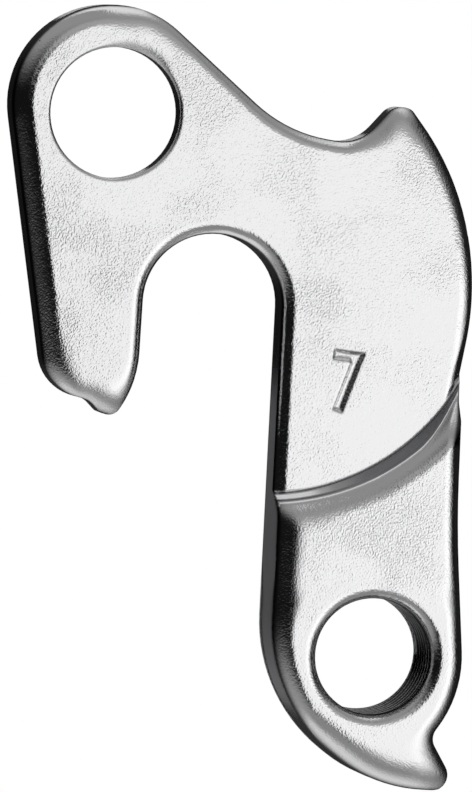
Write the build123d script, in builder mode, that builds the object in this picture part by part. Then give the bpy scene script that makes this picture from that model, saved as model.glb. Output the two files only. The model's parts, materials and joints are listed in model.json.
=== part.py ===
from build123d import *
import os
from math import radians, tan

# Bicycle derailleur hanger: one forged and polished piece, in millimetres.
# The plate stands in the XZ plane with its flat back at Y = 0 and its front towards -Y.
# The origin is where the frame bolt's axis meets the flat back, and the axle slot opens downwards.

# Thicknesses, from the flat back
plate_thickness = 4.3
boss_thickness = 8.0

# Bolt eye, sunk at the back for the head of a sleeve nut
bolt_bore = 10.1
sleeve_head_bore = 13.2
sleeve_head_depth = 2.0
eye_radius = 7.7
eye_x = -0.2
eye_z = 0.6

# Axle slot, between the arm and the leg
slot_width = 10.9
slot_x = 8.65
slot_z = -14.3

# Derailleur thread, M10 x 1, bored to its minor diameter
thread_x = 22.3
thread_z = -40.6
thread_minor = 9.0

# Top edge: it falls from the eye, runs through a dip and a saddle, and climbs the horn
top_slope = 39.0
dip_x = 13.6
dip_radius = 11.2
saddle_x = 19.4
saddle_z = -1.3
saddle_radius = 3.6
horn_x = 22.63
horn_z = 2.63
horn_radius = 1.4

# Rear edge: a long round shoulder, then a waist and a flank, as wide as the leg is there
shoulder_x = 30.14
shoulder_z = -6.6
shoulder_radius = 22.1
waist_width = 13.9
waist_z = -20.6
waist_radius = 3.0
flank_width = 14.0
flank_z = -30.0
flank_radius = 88.0
leg_lean = 0.8

# Lower end, measured from the thread's axis: hip, stop notch, stop tab, sole and heel
hip_x = 7.4
hip_z = -2.5
hip_radius = 9.2
notch_x = 5.0
notch_z = -6.05
notch_radius = 1.2
tab_x = 7.55
tab_z = -10.15
tab_radius = 1.25
sole_x = 0.95
sole_z = -10.2
sole_radius = 11.9
heel_z = -3.95
heel_radius = 13.4

# Arm, measured from the slot's front wall at the slot's round end
arm_lean = 10.8
finger_z = -6.35
finger_radius = 8.5
fingertip_x = -1.95
fingertip_z = -9.6
fingertip_radius = 1.05
instep_x = -3.7
instep_z = -7.9
instep_radius = 1.5
elbow_z = -7.4
elbow_radius = 3.7

# Arc step from the plate up to the boss
step_x = 12.6
step_z = -10.9
step_radius = 17.75
step_draft = 13.5

# Relief of the boss around the step's tip, which lies a little inside the rear edge
tip_inset = 0.1
relief_draft = 48.0
relief_round = 4.0

# Rounded edges of the front
plate_round = 0.95
eye_round = 1.5
boss_round = 1.3
sole_round = 2.0
step_round = 1.7
thread_rim = 0.9

# Distance by which the eye's larger round has run out over the rear edge at the waist
waist_spread = 0.6

# Bevelled edges
back_bevel = 0.25
bolt_bevel = 0.15
thread_bevel = 0.6

# Share of a straight edge that the rounds at its two ends may use
corner_room = 0.95
# A length that passes every edge of the piece
clear = 100.0


def round_reach(before, corner, after):
    """Length of straight edge that a round of unit radius uses on each side of a corner."""
    return tan(radians((corner - before).get_angle(after - corner) / 2))


def limited(points, radii):
    """The corners' radii, each held to what the straight edges beside it have room for."""
    inner = range(1, len(points) - 1)
    reach = [0.0] * len(points)
    for i in inner:
        reach[i] = radii[i - 1] * round_reach(*points[i - 1:i + 2])
    room = [corner_room * (points[i + 1] - points[i]).length / (reach[i] + reach[i + 1])
            for i in range(len(points) - 1)]
    return [radii[i - 1] * min(1.0, room[i - 1], room[i]) for i in inner]


def front_rim(piece):
    """Edges around the foremost flat face."""
    return piece.faces().sort_by(Axis.Y)[0].outer_wire().edges()


# Where the straight edges leave the eye and the slot's round end
eye = Vector(eye_x, eye_z)
eye_crest = eye + Vector(0, eye_radius)
eye_rear = eye + Vector(0, eye_radius).rotate(Axis.Z, -top_slope)
eye_front = eye + Vector(-eye_radius, 0).rotate(Axis.Z, arm_lean)
slot_end = Vector(slot_x, slot_z)
slot_radius = slot_width / 2
slot_front = slot_end + Vector(-slot_radius, 0)
slot_rear = slot_end + Vector(slot_radius, 0).rotate(Axis.Z, leg_lean)
thread = Vector(thread_x, thread_z)


def leg_edge(z):
    """The leg's edge on the slot's side, at a height."""
    return Vector(slot_rear.X + (slot_rear.Y - z) * tan(radians(leg_lean)), z)


# Corners of the outline
dip = Vector(dip_x, eye_rear.Y - (dip_x - eye_rear.X) * tan(radians(top_slope)))
saddle = Vector(saddle_x, saddle_z)
horn = Vector(horn_x, horn_z)
shoulder = Vector(shoulder_x, shoulder_z)
waist = leg_edge(waist_z) + Vector(waist_width, 0)
flank = leg_edge(flank_z) + Vector(flank_width, 0)
hip = thread + Vector(hip_x, hip_z)
notch = thread + Vector(notch_x, notch_z)
tab = thread + Vector(tab_x, tab_z)
sole = thread + Vector(sole_x, sole_z)
heel = leg_edge(thread_z + heel_z)
finger = slot_front + Vector(0, finger_z)
fingertip = slot_front + Vector(fingertip_x, fingertip_z)
instep = slot_front + Vector(instep_x, instep_z)
elbow_level = slot_z + elbow_z
elbow = Vector(eye_front.X + (eye_front.Y - elbow_level) * tan(radians(arm_lean)), elbow_level)

rear_corners = [eye_rear, dip, saddle, horn, shoulder, waist, flank, hip, notch, tab, sole, heel, slot_rear]
rear_radii = [
    dip_radius,
    saddle_radius,
    horn_radius,
    shoulder_radius,
    waist_radius,
    flank_radius,
    hip_radius,
    notch_radius,
    tab_radius,
    sole_radius,
    heel_radius,
]
arm_corners = [slot_front, finger, fingertip, instep, elbow, eye_front]
arm_radii = [finger_radius, fingertip_radius, instep_radius, elbow_radius]

fitted_rear_radii = limited(rear_corners, rear_radii)

with BuildSketch(Plane.XZ) as outline:
    with BuildLine():
        FilletPolyline(*rear_corners, radius=fitted_rear_radii)
        CenterArc(slot_end, slot_radius, leg_lean, 180 - leg_lean)
        FilletPolyline(*arm_corners, radius=limited(arm_corners, arm_radii))
        CenterArc(eye, eye_radius, 180 + arm_lean, -90 - top_slope - arm_lean)
    make_face()

# Softer form that the plate is cut to: it follows the eye, the arm and the rear edge down to the shoulder
brow = horn + (horn - shoulder) * ((eye_crest.Y - horn_z) / (horn_z - shoulder_z))
toe_level = fingertip.Y + fingertip_radius / 2
form_waist = waist + Vector(waist_spread, 0)
form_flank = flank + Vector(waist_spread, 0)
flank_run = form_flank + (hip - flank).normalized() * clear
shoulder_at = rear_corners.index(shoulder) - 1
flank_at = rear_corners.index(flank) - 1
plate_form_corners = [
    eye_crest,
    brow,
    shoulder,
    form_waist,
    form_flank,
    flank_run,
    Vector(slot_x, flank_run.Y),
    Vector(slot_x, toe_level),
    Vector(fingertip.X, toe_level),
    elbow,
    eye_front,
]
plate_form_radii = [
    eye_round,
    *fitted_rear_radii[shoulder_at:flank_at + 1],
    eye_round,
    eye_round,
    eye_round,
    fingertip_radius,
    elbow_radius,
]

with BuildPart() as plate_form:
    with BuildSketch(Plane.XZ):
        with BuildLine():
            FilletPolyline(*plate_form_corners, radius=limited(plate_form_corners, plate_form_radii))
            CenterArc(eye, eye_radius, 180 + arm_lean, -90 - arm_lean)
        make_face()
    extrude(amount=plate_thickness)
    fillet(front_rim(plate_form), eye_round)

# Softer form that the boss is cut to: it follows the underside, from the tab past the heel
sole_line = (tab - sole).normalized() * clear
heel_line = (heel - sole).normalized() * clear

with BuildPart() as boss_form:
    with BuildSketch(Plane.XZ):
        with BuildLine():
            FilletPolyline(sole + sole_line, sole, sole + heel_line, radius=sole_radius)
            Polyline(sole + heel_line, (heel_line.X, clear), (sole_line.X, clear), sole + sole_line)
        make_face()
    extrude(amount=boss_thickness)
    fillet(front_rim(boss_form).sort_by(Axis.Z)[:3], sole_round)

# Foot of the step on the plate's outline, and its tip at the rear edge
with BuildLine(Plane.XZ):
    step_arc = CenterArc((step_x, step_z), step_radius, -90, 90)
step_foot = outline.sketch.face().intersect(step_arc).edges().sort_by(Axis.X)[-1]
step_tip = step_foot @ (1 - tip_inset / step_foot.length)

# Radii of the drafted step wall at the flat back and, before it is rounded, at the boss's front
draft_slope = tan(radians(step_draft))
step_back_radius = step_radius - plate_thickness * draft_slope
step_front_radius = step_radius + (boss_thickness - plate_thickness) * draft_slope
relief_radius = (boss_thickness - plate_thickness) * tan(radians(relief_draft))

# Boss: the leg from inside the plate to its full thickness, with rounded edges, cut off by the arc step
boss_root = plate_thickness / 2

with BuildPart() as boss:
    with BuildSketch(Plane.XZ.offset(boss_root)):
        add(outline.sketch)
        with Locations((slot_x, step_z)):
            Rectangle(clear, clear, align=(Align.MIN, Align.MAX), mode=Mode.INTERSECT)
    extrude(amount=boss_thickness - boss_root)
    fillet(front_rim(boss).sort_by(Axis.Z)[:-1], boss_round)
    add(boss_form.part, mode=Mode.INTERSECT)
    with BuildSketch(Plane.XY.offset(step_z)):
        with BuildLine():
            step_wall = FilletPolyline(
                (step_x + step_back_radius, 0),
                (step_x + step_front_radius, -boss_thickness),
                (step_x + clear, -boss_thickness),
                radius=step_round,
            )
            Polyline(step_wall @ 1, (step_x + clear, -clear), (step_x, -clear), (step_x, 0), step_wall @ 0)
        make_face()
    revolve(axis=Axis((step_x, 0, step_z), (0, 1, 0)), mode=Mode.SUBTRACT)
    with BuildSketch(Plane.XY.offset(step_tip.Z)):
        with BuildLine():
            relief_wall = FilletPolyline(
                (step_tip.X, -plate_thickness),
                (step_tip.X + relief_radius, -boss_thickness),
                (step_tip.X + clear, -boss_thickness),
                radius=relief_round,
            )
            Polyline(relief_wall @ 1, (step_tip.X + clear, -clear), (step_tip.X, -clear), relief_wall @ 0)
        make_face()
    revolve(axis=Axis((step_tip.X, 0, step_tip.Z), (0, 1, 0)), mode=Mode.SUBTRACT)

# Hanger: the plate with its softly rounded front, joined to the boss, then bored
with BuildPart() as hanger:
    extrude(outline.sketch, amount=plate_thickness)
    fillet(front_rim(hanger), plate_round)
    chamfer(hanger.faces().sort_by(Axis.Y)[-1].edges(), back_bevel)
    add(plate_form.part, mode=Mode.INTERSECT)
    add(boss.part)
    with Locations(-Plane.XZ):
        CounterBoreHole(bolt_bore / 2, sleeve_head_bore / 2, sleeve_head_depth)
    bolt_edges = hanger.edges(Select.LAST).filter_by(GeomType.CIRCLE).sort_by(Axis.Y)
    chamfer(bolt_edges[0], bolt_bevel)
    with Locations(Plane.XZ.offset(boss_thickness)):
        with Locations(thread):
            Hole(thread_minor / 2)
    thread_edges = hanger.edges(Select.LAST).filter_by(GeomType.CIRCLE).sort_by(Axis.Y)
    fillet(thread_edges[0], thread_rim)
    chamfer(thread_edges[-1], thread_bevel)

hanger.part.label = "hanger"
os.makedirs("parts", exist_ok=True)
export_step(hanger.part, "parts/hanger.step")
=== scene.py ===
import json
import math

import bmesh
import bpy
import numpy as np
from mathutils import Matrix, Vector


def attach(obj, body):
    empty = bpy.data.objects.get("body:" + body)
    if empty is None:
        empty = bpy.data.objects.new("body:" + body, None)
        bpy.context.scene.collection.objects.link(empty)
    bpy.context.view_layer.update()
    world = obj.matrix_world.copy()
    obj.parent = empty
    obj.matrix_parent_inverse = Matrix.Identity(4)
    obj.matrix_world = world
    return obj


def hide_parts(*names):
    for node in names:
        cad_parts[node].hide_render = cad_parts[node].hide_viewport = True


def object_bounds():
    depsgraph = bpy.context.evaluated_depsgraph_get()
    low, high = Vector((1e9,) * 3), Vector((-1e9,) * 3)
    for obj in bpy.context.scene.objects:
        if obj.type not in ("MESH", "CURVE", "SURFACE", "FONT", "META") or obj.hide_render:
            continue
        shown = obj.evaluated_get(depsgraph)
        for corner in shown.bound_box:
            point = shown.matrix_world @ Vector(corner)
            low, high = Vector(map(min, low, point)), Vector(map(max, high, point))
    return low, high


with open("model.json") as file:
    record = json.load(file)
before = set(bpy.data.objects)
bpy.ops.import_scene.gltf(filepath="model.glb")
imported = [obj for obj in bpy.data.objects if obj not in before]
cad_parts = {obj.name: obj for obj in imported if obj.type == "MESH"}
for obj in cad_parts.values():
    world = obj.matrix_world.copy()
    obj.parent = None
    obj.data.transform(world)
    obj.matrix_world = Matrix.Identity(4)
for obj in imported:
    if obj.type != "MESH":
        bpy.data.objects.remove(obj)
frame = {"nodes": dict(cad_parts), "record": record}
cadLow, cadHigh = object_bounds()
mm = 0.001
scene = bpy.context.scene
print("frame loaded:", sorted(frame["nodes"]))

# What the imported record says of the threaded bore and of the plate's front
mounts = {mount["name"]: mount for mount in frame["record"]["mounts"]}
threadPlace = Vector(mounts["derailleur_thread"]["pos_m"])
threadRadius = mounts["derailleur_thread"]["dims"]["r_mm"] * mm
threadLength = mounts["derailleur_thread"]["dims"]["length_mm"] * mm
plateLevel = mounts["plate_front"]["pos_m"][1] / mm  # Y in mm
bossLevel = cadLow[1] / mm


def linearColour(hexText):
    # sRGB hex to the linear values that the shader wants
    values = [int(hexText[i:i + 2], 16) / 255 for i in (1, 3, 5)]
    linear = [v / 12.92 if v <= 0.04045 else ((v + 0.055) / 1.055) ** 2.4 for v in values]
    return (*linear, 1.0)


def addNode(tree, kind, settings=None, inputs=None):
    # one node: settings are its properties, inputs are values or sockets to link from
    node = tree.nodes.new(kind)
    for name, value in (settings or {}).items():
        setattr(node, name, value)
    for name, value in (inputs or {}).items():
        if isinstance(value, bpy.types.NodeSocket):
            tree.links.new(value, node.inputs[name])
        else:
            node.inputs[name].default_value = value
    return node


def newMaterial(name):
    material = bpy.data.materials.new(name)
    material.use_nodes = True
    material.node_tree.nodes.clear()
    return material, material.node_tree


def newObject(name, mesh):
    piece = bpy.data.objects.new(name, mesh)
    scene.collection.objects.link(piece)
    return piece


# Covers: values from 0 to 1 that say how far a finish or a form holds at a place

def rising(tree, value, span):
    # 0 at the span's first value, 1 at its second, smooth between them
    return addNode(tree, "ShaderNodeMapRange", {"interpolation_type": "SMOOTHSTEP"}, {
        "Value": value, "From Min": span[0], "From Max": span[1],
    }).outputs["Result"]


def outside(tree, cover):
    rest = addNode(tree, "ShaderNodeMath", {"operation": "SUBTRACT"}, {0: 1.0, 1: cover})
    return rest.outputs["Value"]


def overlap(tree, cover, *others):
    # where all of these covers are
    for other in others:
        both = addNode(tree, "ShaderNodeMath", {"operation": "MULTIPLY"}, {0: cover, 1: other})
        cover = both.outputs["Value"]
    return cover


def either(tree, cover, *others):
    # where any of these covers is
    for other in others:
        most = addNode(tree, "ShaderNodeMath", {"operation": "MAXIMUM"}, {0: cover, 1: other})
        cover = most.outputs["Value"]
    return cover


def aroundZero(tree, value, span):
    # a cover by the distance from zero, to either side
    away = addNode(tree, "ShaderNodeMath", {"operation": "ABSOLUTE"}, {0: value})
    return rising(tree, away.outputs["Value"], span)


def withinBand(tree, value, band, soft):
    low, high = band
    return overlap(
        tree,
        rising(tree, value, (low - soft, low + soft)),
        rising(tree, value, (high + soft, high - soft)),
    )


def raised(tree, base, cover, amount):
    # a base value, more by an amount where the cover is
    return addNode(tree, "ShaderNodeMath", {"operation": "MULTIPLY_ADD"}, {
        0: cover, 1: amount, 2: base,
    }).outputs["Value"]


# Tumbled and polished aluminium forging, in mm: a bright mirror that fine grain breaks up in patches
alloyFinish = {
    "colour": "#F2F2F3",
    "roughness": 0.07,
    "edgeSoftness": 0.3,
    "edgeSamples": 12,
    "peelSize": 0.6,
    "peelDetail": 1.0,
    "peelHeight": 0.008,
    "grainSize": 0.14,  # the real grain is finer still, and would not show
    "grainDetail": 1.0,
    "grainHeight": 0.02,
    "grainFloor": 0.6,  # share of the grain that is left between the patches
    "patchSize": 6.0,
    "patchDetail": 2.0,
    "patchSpan": (0.42, 0.6),  # noise over which a patch sets in
    "pitSpacing": 0.9,
    "pitShare": 0.25,  # one cell in four has a pit
    "pitRadius": 0.12,
    "pitEdge": (1.0, 0.3),  # shares of the radius, from the rim to the pit's floor
    "pitDepth": 0.03,
    # painted shade: this dark colour stands for the shade in pits, in the groove and on the shaded line
    "paintedShadeColour": "#4A4B4D",
    "paintedShade": 0.8,  # how far that colour covers pits, groove and shaded line, as painted shade
    "spotCore": 0.4,  # share of a reach, in the two lists below, that has the full value
}

# Where the grain is coarser than on the smooth neck, in mm: place, reach and strength
coarseGrain = [
    ((-4.0, plateLevel, -14.0), 8.0, 1.35),
    ((-1.5, plateLevel, -20.0), 6.0, 1.3),
    ((18.5, plateLevel, -13.0), 7.0, 1.45),
    ((26.0, plateLevel, -6.0), 8.0, 1.35),
    ((21.0, bossLevel, -31.5), 9.0, 1.75),
    ((22.0, bossLevel, -47.5), 5.0, 1.1),
]

# Corners that tumbling has worn softer, in mm: place, reach and softness
wornCorners = [
    ((-1.8, plateLevel, -22.0), 6.0, 2.0),
    ((0.9, plateLevel, -23.0), 3.0, 1.2),
    ((21.9, plateLevel, 1.2), 4.5, 2.2),
    ((2.5, plateLevel, 7.2), 5.0, 1.4),
    ((15.2, bossLevel, -30.8), 5.0, 2.0),
    ((28.0, bossLevel, -49.0), 3.0, 1.4),
]

# Outer edge of the boss, in mm: worn softer away from the thread, which stays crisp
bossEdge = {
    "fromRadius": (6.2, 7.4),
    "belowZ": (-33.0, -37.0),
    "softness": 2.2,
}

# Sheared flanks, in mm, where the forging was trimmed: duller than the front, beside a rim of painted
# shade.
# What ends in Turn is a part of the surface's normal, whose Y is -1 on the front and 1 on the back.
shearedFlank = {
    "colour": "#DEDEE1",
    "roughness": 0.58,
    "squareTurn": (0.06, 0.0),  # Y: a flank stands square to the faces
    "fromX": (8.0, 10.0),  # the arm's front side and the eye are polished
    "belowZ": (-16.0, -23.0),
    "fadeZ": (-47.0, -42.5),  # and so is the boss's underside
    "outerTurn": (0.15, 0.4),  # X and Z together: the outer flanks look up or to the rear
    # painted shade: the dark colour of the rounded edges in front of the flanks
    "rimShadeColour": "#3E3F41",
    "rimStartTurn": (0.0, -0.05),
    "rimEndTurn": (-0.54, -0.3),
    "tipRimX": (27.5, 27.85),  # the painted shade goes on along the rear edge, up to the step's tip
    "tipRimZ": (-24.0, -19.8),
    "tipRimSoftness": 0.3,
    "tipRimSlant": 0.19,  # how much it narrows upwards, from where it is widest
    "tipRimFoot": -22.4,
    "tipRimTurn": (-0.3, -0.5),
    "backTurn": (0.2, 0.6),
    "backRoughness": 0.45,  # the flat back is ground to a satin finish
    "mattShare": 0.42,  # share of the light that the back and the outer flanks scatter
}

# Grinding lines on the back and the outer flanks, in mm
groundLines = {
    "width": 0.2,  # the real lines are finer, and would not show
    "length": 14.0,
    "turn": 22.0,  # degrees from upright
    "detail": 2.0,
    "span": (0.25, 0.75),  # noise from the darkest line to the brightest
    "contrast": 0.4,
}

# Arc step, in mm: a wall with a fine groove at its foot and a burr along its upper edge.
# Towards the slot the wall has a narrow bright ledge with a shaded line over it.
# Painted shade darkens the groove, the shaded line and the wall's rear part.
arcStep = {
    "centre": (12.6, 0.0, -10.9),
    "footRadius": 17.75,
    "fromX": (11.5, 12.5),  # the arm has no step
    "belowZ": (-17.9, -18.9),
    "overPlate": (-0.05, -0.15),  # the step stands over the plate's front
    "fromFoot": (1.0, 0.85),  # and reaches this far out from its foot
    "rearTurn": (0.4, 0.1),  # X of the normal: the rear edge belongs to the flank
    "grooveHalfWidth": 0.1,
    "grooveDepth": 0.06,
    "grooveLevel": (0.3, 0.12),  # how near the plate's front the groove stays
    "wallTop": -6.85,
    "wallTopSoftness": 0.1,
    # painted shade: the darker colour of the wall's rear part
    "wallShadeColour": "#A6A7AA",
    "wallRoughness": 0.28,
    "wallDark": (16.5, 23.0),  # X over which painted shade darkens the wall
    "wallTaper": (25.0, 29.6),  # X over which the wall runs out
    "ledge": (0.1, 0.4),  # from the foot outwards
    "shade": (0.42, 0.52),
    "bandSoftness": 0.04,
    "burrHalfWidth": 0.7,
    "frontTurn": 0.94,  # how far the ledge and the burr turn to the front
}


def flatRadius(tree, place, centre):
    # distance from an axis that runs through the plate
    away = addNode(tree, "ShaderNodeVectorMath", {"operation": "SUBTRACT"}, {0: place, 1: centre})
    flat = addNode(tree, "ShaderNodeVectorMath", {"operation": "MULTIPLY"}, {
        0: away.outputs["Vector"], 1: (1.0, 0.0, 1.0),
    })
    length = addNode(tree, "ShaderNodeVectorMath", {"operation": "LENGTH"}, {0: flat.outputs["Vector"]})
    return length.outputs["Value"]


def spotted(tree, place, base, spots):
    # a base value that goes over to a spot's own value near its place
    value = base
    for centre, reach, strength in spots:
        away = addNode(tree, "ShaderNodeVectorMath", {"operation": "DISTANCE"}, {0: place, 1: centre})
        near = rising(tree, away.outputs["Value"], (reach, reach * alloyFinish["spotCore"]))
        value = raised(tree, value, near, strength - base)
    return value


def softenedNormal(tree, place, along):
    # edges rounded a little, and more at the worn corners and along the boss's outer edge
    boss = overlap(
        tree,
        rising(tree, flatRadius(tree, place, threadPlace / mm), bossEdge["fromRadius"]),
        rising(tree, along["Z"], bossEdge["belowZ"]),
    )
    softness = spotted(tree, place, alloyFinish["edgeSoftness"], wornCorners)
    softness = raised(tree, softness, boss, bossEdge["softness"])
    return addNode(tree, "ShaderNodeBevel", {"samples": alloyFinish["edgeSamples"]}, {
        "Radius": raised(tree, 0.0, softness, mm),
    }).outputs["Normal"]


def pitCover(tree, place):
    # sparse round pits of different sizes
    cells = addNode(tree, "ShaderNodeTexVoronoi", {}, {
        "Vector": place, "Scale": 1 / alloyFinish["pitSpacing"],
    }).outputs
    chance = addNode(tree, "ShaderNodeSeparateColor", {}, {"Color": cells["Color"]}).outputs
    reach = addNode(tree, "ShaderNodeMath", {"operation": "DIVIDE"}, {
        0: cells["Distance"], 1: chance["Green"],
    })
    largest = alloyFinish["pitRadius"] / alloyFinish["pitSpacing"]
    inside = rising(tree, reach.outputs["Value"], [edge * largest for edge in alloyFinish["pitEdge"]])
    taken = addNode(tree, "ShaderNodeMath", {"operation": "LESS_THAN"}, {
        0: chance["Red"], 1: alloyFinish["pitShare"],
    })
    return overlap(tree, inside, taken.outputs["Value"])


def lineCover(tree, place):
    turned = addNode(tree, "ShaderNodeVectorRotate", {"rotation_type": "Y_AXIS"}, {
        "Vector": place, "Angle": math.radians(groundLines["turn"]),
    })
    drawn = addNode(tree, "ShaderNodeVectorMath", {"operation": "MULTIPLY"}, {
        0: turned.outputs["Vector"],
        1: (1 / groundLines["width"], 0.0, 1 / groundLines["length"]),
    })
    lines = addNode(tree, "ShaderNodeTexNoise", {}, {
        "Vector": drawn.outputs["Vector"], "Scale": 1.0, "Detail": groundLines["detail"],
    })
    return rising(tree, lines.outputs["Fac"], groundLines["span"])


def stepCovers(tree, place, along, turn):
    # groove at its foot, whole step, painted shade on its wall and line, and what faces the front
    radius = flatRadius(tree, place, arcStep["centre"])
    fromFoot = raised(tree, radius, 1.0, -arcStep["footRadius"])
    overPlate = raised(tree, along["Y"], 1.0, -plateLevel)
    below = overlap(
        tree,
        rising(tree, along["Z"], arcStep["belowZ"]),
        rising(tree, along["X"], arcStep["fromX"]),
    )
    groove = overlap(
        tree,
        aroundZero(tree, fromFoot, (arcStep["grooveHalfWidth"], 0.0)),
        below,
        aroundZero(tree, overPlate, arcStep["grooveLevel"]),
    )
    onStep = overlap(
        tree,
        below,
        rising(tree, fromFoot, arcStep["fromFoot"]),
        rising(tree, overPlate, arcStep["overPlate"]),
        rising(tree, turn["X"], arcStep["rearTurn"]),
    )
    # the wall's top comes down to the plate where the wall runs out
    taper = rising(tree, along["X"], arcStep["wallTaper"])
    top = raised(tree, arcStep["wallTop"], taper, plateLevel - arcStep["wallTop"])
    underTop = raised(tree, along["Y"], top, -1.0)
    # towards the rear, painted shade darkens the wall
    rearShare = rising(tree, along["X"], arcStep["wallDark"])
    nearSlot = overlap(tree, onStep, outside(tree, rearShare))
    ledge, shade = [
        overlap(tree, withinBand(tree, fromFoot, arcStep[band], arcStep["bandSoftness"]), nearSlot)
        for band in ("ledge", "shade")
    ]
    burr = overlap(tree, aroundZero(tree, underTop, (arcStep["burrHalfWidth"], 0.0)), onStep)
    wall = rising(tree, underTop, (0.0, arcStep["wallTopSoftness"]))
    return {
        "groove": groove,
        "all": onStep,
        "wall": overlap(tree, wall, onStep, rearShare),
        "shade": shade,
        "frontal": either(tree, burr, ledge),
    }


def flankCovers(tree, along, turn):
    # the flanks, the rims of painted shade in front of them and at the step's tip, the back, and all
    # that is matt
    square = aroundZero(tree, turn["Y"], shearedFlank["squareTurn"])
    outer = rising(tree, raised(tree, turn["X"], turn["Z"], 1.0), shearedFlank["outerTurn"])
    inner = overlap(
        tree,
        rising(tree, along["X"], shearedFlank["fromX"]),
        rising(tree, along["Z"], shearedFlank["belowZ"]),
        rising(tree, along["Z"], shearedFlank["fadeZ"]),
    )
    # painted shade along the rounded edges in front of the flanks
    rim = overlap(
        tree,
        rising(tree, turn["Y"], shearedFlank["rimStartTurn"]),
        rising(tree, turn["Y"], shearedFlank["rimEndTurn"]),
    )
    # painted shade along the rear edge up to the step's tip
    slant = shearedFlank["tipRimSlant"]
    tipEdge = [x - slant * shearedFlank["tipRimFoot"] for x in shearedFlank["tipRimX"]]
    tip = overlap(
        tree,
        rising(tree, raised(tree, along["X"], along["Z"], -slant), tipEdge),
        rising(tree, turn["Y"], shearedFlank["tipRimTurn"]),
        withinBand(tree, along["Z"], shearedFlank["tipRimZ"], shearedFlank["tipRimSoftness"]),
    )
    back = rising(tree, turn["Y"], shearedFlank["backTurn"])
    return {
        "flank": overlap(tree, square, either(tree, inner, outer)),
        "rim": rim,
        "tip": tip,
        "back": back,
        "matt": either(tree, back, overlap(tree, square, outer)),
    }


def alloyColour(tree, pits, step, edge):
    # painted shade along the rounded edges and at the step's tip
    rim = either(tree, overlap(tree, edge["rim"], outside(tree, step["all"])), edge["tip"])
    # painted shade in pits, in the step's groove and on its shaded line
    paintedShade = raised(tree, 0.0, either(tree, pits, step["groove"], step["shade"]), alloyFinish["paintedShade"])
    colour = linearColour(alloyFinish["colour"])
    for cover, coat in (
        (rim, shearedFlank["rimShadeColour"]),
        (edge["flank"], shearedFlank["colour"]),
        # painted shade on the step's rear wall
        (step["wall"], arcStep["wallShadeColour"]),
        (paintedShade, alloyFinish["paintedShadeColour"]),
    ):
        colour = addNode(tree, "ShaderNodeMix", {"data_type": "RGBA"}, {
            0: cover, 6: colour, 7: linearColour(coat),  # 6 and 7 are the node's inputs for colours
        }).outputs[2]
    return colour


def alloyRoughness(tree, step, edge):
    polished = alloyFinish["roughness"]
    return either(
        tree,
        raised(tree, polished, edge["flank"], shearedFlank["roughness"] - polished),
        raised(tree, 0.0, edge["back"], shearedFlank["backRoughness"]),
        raised(tree, 0.0, either(tree, step["wall"], step["frontal"]), arcStep["wallRoughness"]),
    )


def mirrorShare(tree, place, matt):
    # a matt place scatters a part of the light, and some grinding lines more than others
    share, contrast = shearedFlank["mattShare"], groundLines["contrast"]
    scattered = raised(tree, share * (1 - contrast / 2), lineCover(tree, place), share * contrast)
    return outside(tree, overlap(tree, matt, scattered))


def alloyNormal(tree, place, soft, pits, step):
    # heights in mm: orange peel, grain in patches, pits and the groove
    noises = {
        name: addNode(tree, "ShaderNodeTexNoise", {}, {
            "Vector": place,
            "Scale": 1 / alloyFinish[name + "Size"],
            "Detail": alloyFinish[name + "Detail"],
        }).outputs["Fac"]
        for name in ("peel", "grain", "patch")
    }
    floor = alloyFinish["grainFloor"]
    patches = raised(tree, floor, rising(tree, noises["patch"], alloyFinish["patchSpan"]), 1 - floor)
    patches = overlap(tree, patches, spotted(tree, place, 1.0, coarseGrain))
    height = raised(tree, 0.0, noises["peel"], alloyFinish["peelHeight"])
    height = raised(tree, height, overlap(tree, noises["grain"], patches), alloyFinish["grainHeight"])
    height = raised(tree, height, pits, -alloyFinish["pitDepth"])
    height = raised(tree, height, step["groove"], -arcStep["grooveDepth"])
    bump = addNode(tree, "ShaderNodeBump", {}, {
        "Strength": 1.0, "Distance": mm, "Height": height, "Normal": soft,
    })
    # the burr's crest and the ledge look to the front
    front = addNode(tree, "ShaderNodeVectorTransform", {
        "vector_type": "NORMAL", "convert_from": "OBJECT", "convert_to": "WORLD",
    }, {"Vector": (0.0, -1.0, 0.0)})
    turned = addNode(tree, "ShaderNodeMix", {"data_type": "VECTOR"}, {
        0: raised(tree, 0.0, step["frontal"], arcStep["frontTurn"]),
        4: bump.outputs["Normal"],  # 4 and 5 are the node's inputs for vectors
        5: front.outputs["Vector"],
    })
    normal = addNode(tree, "ShaderNodeVectorMath", {"operation": "NORMALIZE"}, {0: turned.outputs[1]})
    return normal.outputs["Vector"]


def tumbledAluminium():
    material, tree = newMaterial("tumbledAluminium")
    coordinates = addNode(tree, "ShaderNodeTexCoord").outputs
    place = addNode(tree, "ShaderNodeVectorMath", {"operation": "SCALE"}, {
        0: coordinates["Object"], "Scale": 1 / mm,
    }).outputs["Vector"]
    along = addNode(tree, "ShaderNodeSeparateXYZ", {}, {"Vector": place}).outputs
    soft = softenedNormal(tree, place, along)
    turn = addNode(tree, "ShaderNodeSeparateXYZ", {}, {"Vector": soft}).outputs
    pits = pitCover(tree, place)
    step = stepCovers(tree, place, along, turn)
    edge = flankCovers(tree, along, turn)
    shader = addNode(tree, "ShaderNodeBsdfPrincipled", {}, {
        "Base Color": alloyColour(tree, pits, step, edge),
        "Metallic": mirrorShare(tree, place, edge["matt"]),
        "Roughness": alloyRoughness(tree, step, edge),
        "Normal": alloyNormal(tree, place, soft, pits, step),
    })
    addNode(tree, "ShaderNodeOutputMaterial", {}, {"Surface": shader.outputs["BSDF"]})
    return material


alloy = tumbledAluminium()
print("material made:", len(alloy.node_tree.nodes), "nodes")

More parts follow.
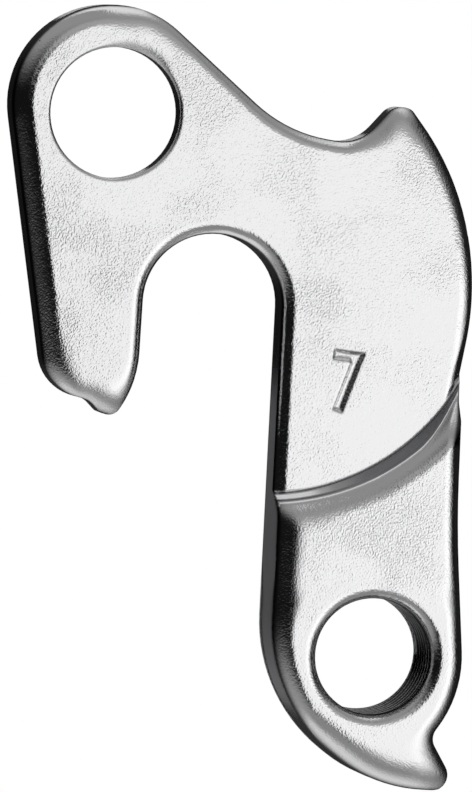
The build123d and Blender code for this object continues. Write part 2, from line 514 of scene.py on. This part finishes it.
# Stamped mark, in mm: a plain figure seven, drawn as strokes about its centre
stampedMark = {
    "centre": (19.26, plateLevel, -19.52),
    "strokes": [((-0.78, 0.0, 1.9), (0.78, 0.0, 1.9)), ((0.78, 0.0, 1.9), (-0.2, 0.0, -2.05))],
    "turn": 4.0,  # degrees
    "halfWidth": 0.42,
    "draft": 0.28,  # how far the walls slope inwards
    "depth": 0.22,
    "reach": 4.0,  # the flat front is cut only this near to the centre
    "flatTurn": -0.999,  # Y of the normals of the flat front
    "levelSlack": 0.01,  # how far off the plate's front such a face may lie
    "cutSlack": 0.0001,  # a cut this near to a point goes through it
}


def markStrokes():
    # start and end of each stroke, in metres and in place
    turn = Matrix.Rotation(math.radians(stampedMark["turn"]), 3, "Y")
    centre = Vector(stampedMark["centre"])
    return [
        [(centre + turn @ Vector(point)) * mm for point in stroke]
        for stroke in stampedMark["strokes"]
    ]


def markedFaces(shape):
    # the faces of the flat front near the mark
    centre = Vector(stampedMark["centre"]) * mm
    reach, slack = stampedMark["reach"] * mm, stampedMark["levelSlack"] * mm
    faces = []
    for face in shape.faces:
        offsets = [vert.co - centre for vert in face.verts]
        if face.normal.y > stampedMark["flatTurn"] or abs(offsets[0].y) > slack:
            continue
        spans = [[offset[axis] for offset in offsets] for axis in (0, 2)]
        if all(min(span) < reach and max(span) > -reach for span in spans):
            faces.append(face)
    return faces


def towardsStroke(point, stroke):
    # the way from a point to a stroke's middle line
    start, end = stroke
    along = end - start
    share = (point - start).dot(along) / along.length_squared
    return start + along * min(max(share, 0.0), 1.0) - point


def stampMark(shape, normals):
    # the figure's strokes sunk into the flat front, with sloping walls
    half, strokes = stampedMark["halfWidth"] * mm, markStrokes()
    ways = [(end - start).normalized() for start, end in strokes]
    turns = [along.cross(Vector((0.0, 1.0, 0.0))) for along in ways]
    outer = [(start + across * half, across) for (start, end), across in zip(strokes, turns)]
    inner = [(start - across * half, -across) for (start, end), across in zip(strokes, turns)]
    # a stroke ends square, or at the outer side of the next one
    firsts = [(strokes[0][0] - ways[0] * half, -ways[0]), *outer[:-1]]
    lasts = [*outer[1:], (strokes[-1][1] + ways[-1] * half, ways[-1])]
    sides = [list(planes) for planes in zip(firsts, lasts, inner, outer)]
    for point, outward in sum(sides, []):
        faces = markedFaces(shape)
        parts = dict.fromkeys(part for face in faces for part in (face, *face.edges, *face.verts))
        bmesh.ops.bisect_plane(
            shape, geom=list(parts), dist=stampedMark["cutSlack"] * mm,
            plane_co=point, plane_no=outward)
    sunk = []
    for face in markedFaces(shape):
        middle = face.calc_center_median()
        if any(all((middle - point).dot(outward) < 0 for point, outward in side) for side in sides):
            sunk.append(face)
    made = bmesh.ops.extrude_face_region(shape, geom=sunk)["geom"]
    floor = [part for part in made if isinstance(part, bmesh.types.BMVert)]
    bmesh.ops.delete(shape, geom=sunk, context="FACES")
    for vert in floor:
        inward = min((towardsStroke(vert.co, stroke) for stroke in strokes), key=lambda way: way.length)
        vert.co += inward.normalized() * min(stampedMark["draft"] * mm, inward.length)
        vert.co.y += stampedMark["depth"] * mm
    shape.normal_update()
    for face in {face for vert in floor for face in vert.link_faces}:
        for loop in face.loops:
            loop[normals] = face.normal
    print("figure stamped:", len(floor), "points sunk")


# Thread in the lower bore, in mm: a helix of four-sided ridges, whose crests stand at the bore's radius
threadForm = {
    "pitch": 1.0,
    "ridge": 0.5,  # from a ridge's middle to its crest
    "sides": 4,
    "stepsPerTurn": 64,
    "recess": 0.55,  # how far the wall between the ridges is set back
    "shy": 0.35,  # length over which that wall comes back to the bore at each end
    "linerSides": 128,
    "linerCrease": 30.0,  # degrees from which an edge is sharp
    "linerSlack": 0.001,  # points this near to each other are one
    "boreSlack": 0.02,  # how far off its radius the bore's wall may lie
    "boreTurn": 0.1,  # largest Y of the normals of the bore's wall
}


def threadSpan():
    # lowest and highest Y of the threaded wall
    return threadPlace.y - threadLength / 2, threadPlace.y + threadLength / 2


def threadAxis(depth):
    # the point of the bore's axis at a depth
    return Vector((threadPlace.x, depth, threadPlace.z))


def openBody():
    # the CAD solid with its own normals and the stamped figure,
    # less the threaded wall, which the liner stands in for
    mesh = frame["nodes"]["hanger"].data.copy()
    mesh.name = "hangerBody"
    kept = mesh.attributes.new("keptNormal", "FLOAT_VECTOR", "CORNER")
    kept.data.foreach_set("vector", [part for corner in mesh.corner_normals for part in corner.vector])
    shape = bmesh.new()
    shape.from_mesh(mesh)
    slack = threadForm["boreSlack"] * mm
    onBore = {
        vert for vert in shape.verts
        if abs((vert.co - threadAxis(vert.co.y)).length - threadRadius) < slack
    }
    upright = [face for face in shape.faces if abs(face.normal.y) < threadForm["boreTurn"]]
    wall = [face for face in upright if all(vert in onBore for vert in face.verts)]
    bmesh.ops.delete(shape, geom=wall, context="FACES")
    stampMark(shape, shape.loops.layers.float_vector["keptNormal"])
    shape.to_mesh(mesh)
    shape.free()
    normals = [Vector(corner.vector) for corner in mesh.attributes["keptNormal"].data]
    mesh.attributes.remove(mesh.attributes["keptNormal"])
    mesh.normals_split_custom_set(normals)
    print("threaded wall opened:", len(wall), "faces")
    return newObject("hangerBody", mesh)


def threadLiner():
    # the wall between the ridges, set back to the thread's root
    low, high = threadSpan()
    root, shy = threadRadius + threadForm["recess"] * mm, threadForm["shy"] * mm
    axis = threadAxis(0.0)
    ends = ((threadRadius, low), (root, low + shy), (root, high - shy), (threadRadius, high))
    shape = bmesh.new()
    row = [shape.verts.new(axis + Vector((radius, depth, 0.0))) for radius, depth in ends]
    profile = [shape.edges.new(pair) for pair in zip(row, row[1:])]
    bmesh.ops.spin(
        shape, geom=row + profile, cent=axis, axis=(0, 1, 0), angle=math.tau,
        steps=threadForm["linerSides"], use_merge=True)
    bmesh.ops.remove_doubles(shape, verts=shape.verts, dist=threadForm["linerSlack"] * mm)
    for face in shape.faces:
        middle = face.calc_center_median()
        face.normal_update()
        if face.normal.dot(threadAxis(middle.y) - middle) < 0:
            face.normal_flip()
        face.smooth = True
    mesh = bpy.data.meshes.new("threadLiner")
    shape.to_mesh(mesh)
    shape.free()
    mesh.set_sharp_from_angle(angle=math.radians(threadForm["linerCrease"]))
    return newObject("threadLiner", mesh)


def threadGroup():
    # a ridge swept along a helix about Z
    tree = bpy.data.node_groups.new("threadHelix", "GeometryNodeTree")
    sockets = {
        "NodeSocketFloat": ("Turns", "Radius", "Height", "Ridge"),
        "NodeSocketInt": ("Steps", "Sides"),
        "NodeSocketMaterial": ("Material",),
    }
    for kind, names in sockets.items():
        for name in names:
            tree.interface.new_socket(name, in_out="INPUT", socket_type=kind)
    tree.interface.new_socket("Geometry", in_out="OUTPUT", socket_type="NodeSocketGeometry")
    given = addNode(tree, "NodeGroupInput").outputs
    helix = addNode(tree, "GeometryNodeCurveSpiral", {}, {
        "Resolution": given["Steps"],
        "Rotations": given["Turns"],
        "Start Radius": given["Radius"],
        "End Radius": given["Radius"],
        "Height": given["Height"],
    })
    upright = addNode(tree, "GeometryNodeSetCurveNormal", {"mode": "Z_UP"}, {
        "Curve": helix.outputs["Curve"],
    })
    ridge = addNode(tree, "GeometryNodeCurvePrimitiveCircle", {}, {
        "Resolution": given["Sides"], "Radius": given["Ridge"],
    })
    swept = addNode(tree, "GeometryNodeCurveToMesh", {}, {
        "Curve": upright.outputs["Curve"],
        "Profile Curve": ridge.outputs["Curve"],
        "Fill Caps": True,
    })
    real = addNode(tree, "GeometryNodeRealizeInstances", {}, {"Geometry": swept.outputs["Mesh"]})
    painted = addNode(tree, "GeometryNodeSetMaterial", {}, {
        "Geometry": real.outputs["Geometry"], "Material": given["Material"],
    })
    addNode(tree, "NodeGroupOutput", {}, {"Geometry": painted.outputs["Geometry"]})
    return tree


def threadRidges():
    low, high = threadSpan()
    ridge = threadForm["ridge"] * mm
    height = high - low - 2 * ridge
    carrier = newObject("threadCarrier", bpy.data.meshes.new("threadCarrier"))
    modifier = carrier.modifiers.new("helix", "NODES")
    modifier.node_group = threadGroup()
    values = {
        "Turns": height / mm / threadForm["pitch"],
        "Radius": threadRadius + ridge,
        "Height": height,
        "Ridge": ridge,
        "Steps": threadForm["stepsPerTurn"],
        "Sides": threadForm["sides"],
        "Material": alloy,
    }
    for item in modifier.node_group.interface.items_tree:
        if item.name in values:
            modifier[item.identifier] = values[item.name]
    # what the modifier gives, as a plain mesh in its place
    bpy.context.view_layer.update()
    evaluated = carrier.evaluated_get(bpy.context.evaluated_depsgraph_get())
    mesh = bpy.data.meshes.new_from_object(evaluated)
    mesh.name = "threadRidges"
    bpy.data.objects.remove(carrier)
    upended = Matrix.Rotation(math.radians(90), 4, "X")
    mesh.transform(Matrix.Translation(threadAxis(high - ridge)) @ upended)
    return newObject("threadRidges", mesh)


hangerBody, linerPiece, ridgePiece = openBody(), threadLiner(), threadRidges()
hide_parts("hanger")
for piece in (hangerBody, linerPiece, ridgePiece):
    piece.data.materials.clear()
    piece.data.materials.append(alloy)
    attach(piece, "root")
    print(piece.name, "dressed:", len(piece.data.polygons), "faces")

# Camera where the photograph was taken from, in mm
photoCamera = {
    "position": (-121.6, -778.3, 5.2),
    "aim": (10.81, plateLevel, -21.23),
    "roll": 3.7,  # degrees
    "lens": 462.6,
    "sensor": 36.0,
    "farthest": 10000.0,
}


def addCamera():
    place = Vector(photoCamera["position"]) * mm
    forward = (Vector(photoCamera["aim"]) * mm - place).normalized()
    level = forward.cross(Vector((0, 0, 1))).normalized()
    upright = level.cross(forward)
    roll = math.radians(photoCamera["roll"])
    right = level * math.cos(roll) + upright * math.sin(roll)
    up = upright * math.cos(roll) - level * math.sin(roll)
    camera = bpy.data.objects.new("photoCamera", bpy.data.cameras.new("photoCamera"))
    camera.data.lens = photoCamera["lens"]
    camera.data.sensor_width = photoCamera["sensor"]
    camera.data.clip_end = photoCamera["farthest"] * mm
    turned = Matrix((right, up, -forward)).transposed().to_4x4()
    camera.matrix_world = Matrix.Translation(place) @ turned
    scene.collection.objects.link(camera)
    scene.camera = camera


addCamera()
print("camera set")

# Studio, in mm: a white room, and a grey tent with dark and bright panels, which only reflections see
studio = {
    "floorDrop": 25.0,  # under the lowest point
    "floorRadius": 320.0,
    "floorSides": 96,
    "floorFade": (0.5, 0.98),  # shares of the radius
    "floorColour": "#F4F4F4",
    "tentRadius": 600.0,
    "tentStep": 1.5,  # degrees
    "tentPole": 89.9,  # degrees, elevation of the last row
    "tentLight": 0.28,
}

# Panels, each over the ones before it: azimuth runs from the front towards +X and elevation from the
# horizon, in degrees, with the widths of their soft edges; light is 1 for white
panels = {
    "roof": {
        "azimuth": (14, 190), "sideSoft": (26, 40),
        "elevation": (66, 90), "soft": (26, None), "light": 0.76,
    },
    "ground": {
        "elevation": (-90, -52), "soft": (None, 26), "light": 0.7,
    },
    "frontGround": {
        "azimuth": (-42, 120), "sideSoft": (40, 30),
        "elevation": (-78, -34), "soft": (20, 14), "light": 0.25,
    },
    "horizon": {
        "elevation": (-22, 29), "soft": (30, 42), "light": 0.006,
    },
    "frontSky": {
        "azimuth": (-20, 50), "sideSoft": (22, 22),
        "elevation": (10, 36), "soft": (10, 20), "light": 0.36,
    },
    "rightDark": {
        "azimuth": (80, 185), "sideSoft": (24, 10),
        "elevation": (-32, 36), "soft": (18, 16), "light": 0.012,
    },
    "backHaze": {
        "azimuth": (152, 180), "sideSoft": (14, 6),
        "elevation": (-40, 40), "soft": (20, 20), "light": 0.03,
    },
    "backRoof": {
        "azimuth": (146, 214), "sideSoft": (30, 30),
        "elevation": (46, 78), "soft": (14, 16), "light": 0.8,
    },
    "key": {
        "azimuth": (1, 54), "sideSoft": (8, 40),
        "elevation": (-28, 9), "soft": (13, 9), "light": 0.97,
    },
    "keyCore": {
        "azimuth": (19, 42), "sideSoft": (8, 16),
        "elevation": (-22, 4), "soft": (10, 8), "light": 1.15,
    },
}


def smooth(value, edge, width):
    share = np.clip((value - edge) / width + 0.5, 0.0, 1.0)
    return share * share * (3 - 2 * share)


def panelCover(panel, azimuth, elevation):
    low, high = panel["elevation"]
    lowSoft, highSoft = panel["soft"]
    cover = np.ones_like(azimuth)
    if lowSoft:
        cover *= smooth(elevation, low, lowSoft)
    if highSoft:
        cover *= smooth(-elevation, -high, highSoft)
    if "azimuth" in panel:
        left, right = panel["azimuth"]
        leftSoft, rightSoft = panel["sideSoft"]
        turn = (azimuth - (left + right) / 2 + 180) % 360 - 180
        cover *= smooth(turn, (left - right) / 2, leftSoft)
        cover *= smooth(-turn, (left - right) / 2, rightSoft)
    return cover


def addTent(centre):
    around = int(360 / studio["tentStep"])
    upward = int(180 / studio["tentStep"])
    azimuth, elevation = np.meshgrid(
        np.linspace(-180, 180, around, endpoint=False),
        np.linspace(-studio["tentPole"], studio["tentPole"], upward + 1),
    )
    glow = np.full_like(azimuth, studio["tentLight"])
    for panel in panels.values():
        glow += panelCover(panel, azimuth, elevation) * (panel["light"] - glow)
    flat = np.cos(np.radians(elevation))
    places = studio["tentRadius"] * mm * np.stack([
        np.sin(np.radians(azimuth)) * flat,
        -np.cos(np.radians(azimuth)) * flat,
        np.sin(np.radians(elevation)),
    ], axis=-1) + np.array(centre)
    faces = [
        (row * around + side, row * around + (side + 1) % around,
         (row + 1) * around + (side + 1) % around, (row + 1) * around + side)
        for row in range(upward) for side in range(around)
    ]
    mesh = bpy.data.meshes.new("studioTent")
    mesh.from_pydata(places.reshape(-1, 3).tolist(), [], faces)
    mesh.attributes.new("glow", "FLOAT", "POINT").data.foreach_set("value", glow.ravel())
    material, tree = newMaterial("tentCloth")
    level = addNode(tree, "ShaderNodeAttribute", {"attribute_name": "glow"})
    light = addNode(tree, "ShaderNodeEmission", {}, {"Strength": level.outputs["Fac"]})
    addNode(tree, "ShaderNodeOutputMaterial", {}, {"Surface": light.outputs["Emission"]})
    material.cycles.emission_sampling = "NONE"
    mesh.materials.append(material)
    tent = newObject("studioTent", mesh)
    tent.visible_camera = False
    tent.visible_diffuse = False
    tent.visible_shadow = False


def addFloor(centre):
    # pale disc that fades out at its rim
    radius = studio["floorRadius"] * mm
    shape = bmesh.new()
    bmesh.ops.create_circle(shape, cap_ends=True, segments=studio["floorSides"], radius=radius)
    mesh = bpy.data.meshes.new("studioFloor")
    shape.to_mesh(mesh)
    shape.free()
    material, tree = newMaterial("palePaper")
    place = addNode(tree, "ShaderNodeTexCoord").outputs["Object"]
    reach = addNode(tree, "ShaderNodeVectorMath", {"operation": "LENGTH"}, {0: place}).outputs["Value"]
    paper = addNode(tree, "ShaderNodeBsdfDiffuse", {}, {"Color": linearColour(studio["floorColour"])})
    clear = addNode(tree, "ShaderNodeBsdfTransparent")
    mixed = addNode(tree, "ShaderNodeMixShader", {}, {
        "Fac": rising(tree, reach, [radius * share for share in studio["floorFade"]]),
        1: paper.outputs["BSDF"],
        2: clear.outputs["BSDF"],
    })
    addNode(tree, "ShaderNodeOutputMaterial", {}, {"Surface": mixed.outputs["Shader"]})
    mesh.materials.append(material)
    floor = newObject("studioFloor", mesh)
    floor.location = (centre[0], centre[1], cadLow[2] - studio["floorDrop"] * mm)
    floor.visible_glossy = False


def addWorld():
    world = bpy.data.worlds.new("whiteRoom")
    world.use_nodes = True
    tree = world.node_tree
    tree.nodes.clear()
    light = addNode(tree, "ShaderNodeBackground", {}, {"Color": (1, 1, 1, 1), "Strength": 1.0})
    addNode(tree, "ShaderNodeOutputWorld", {}, {"Surface": light.outputs["Background"]})
    scene.world = world


middle = [(low + high) / 2 for low, high in zip(cadLow, cadHigh)]
addWorld()
addTent(middle)
addFloor(middle)
scene.view_settings.view_transform = "Standard"
print("studio set:", ", ".join(panels))
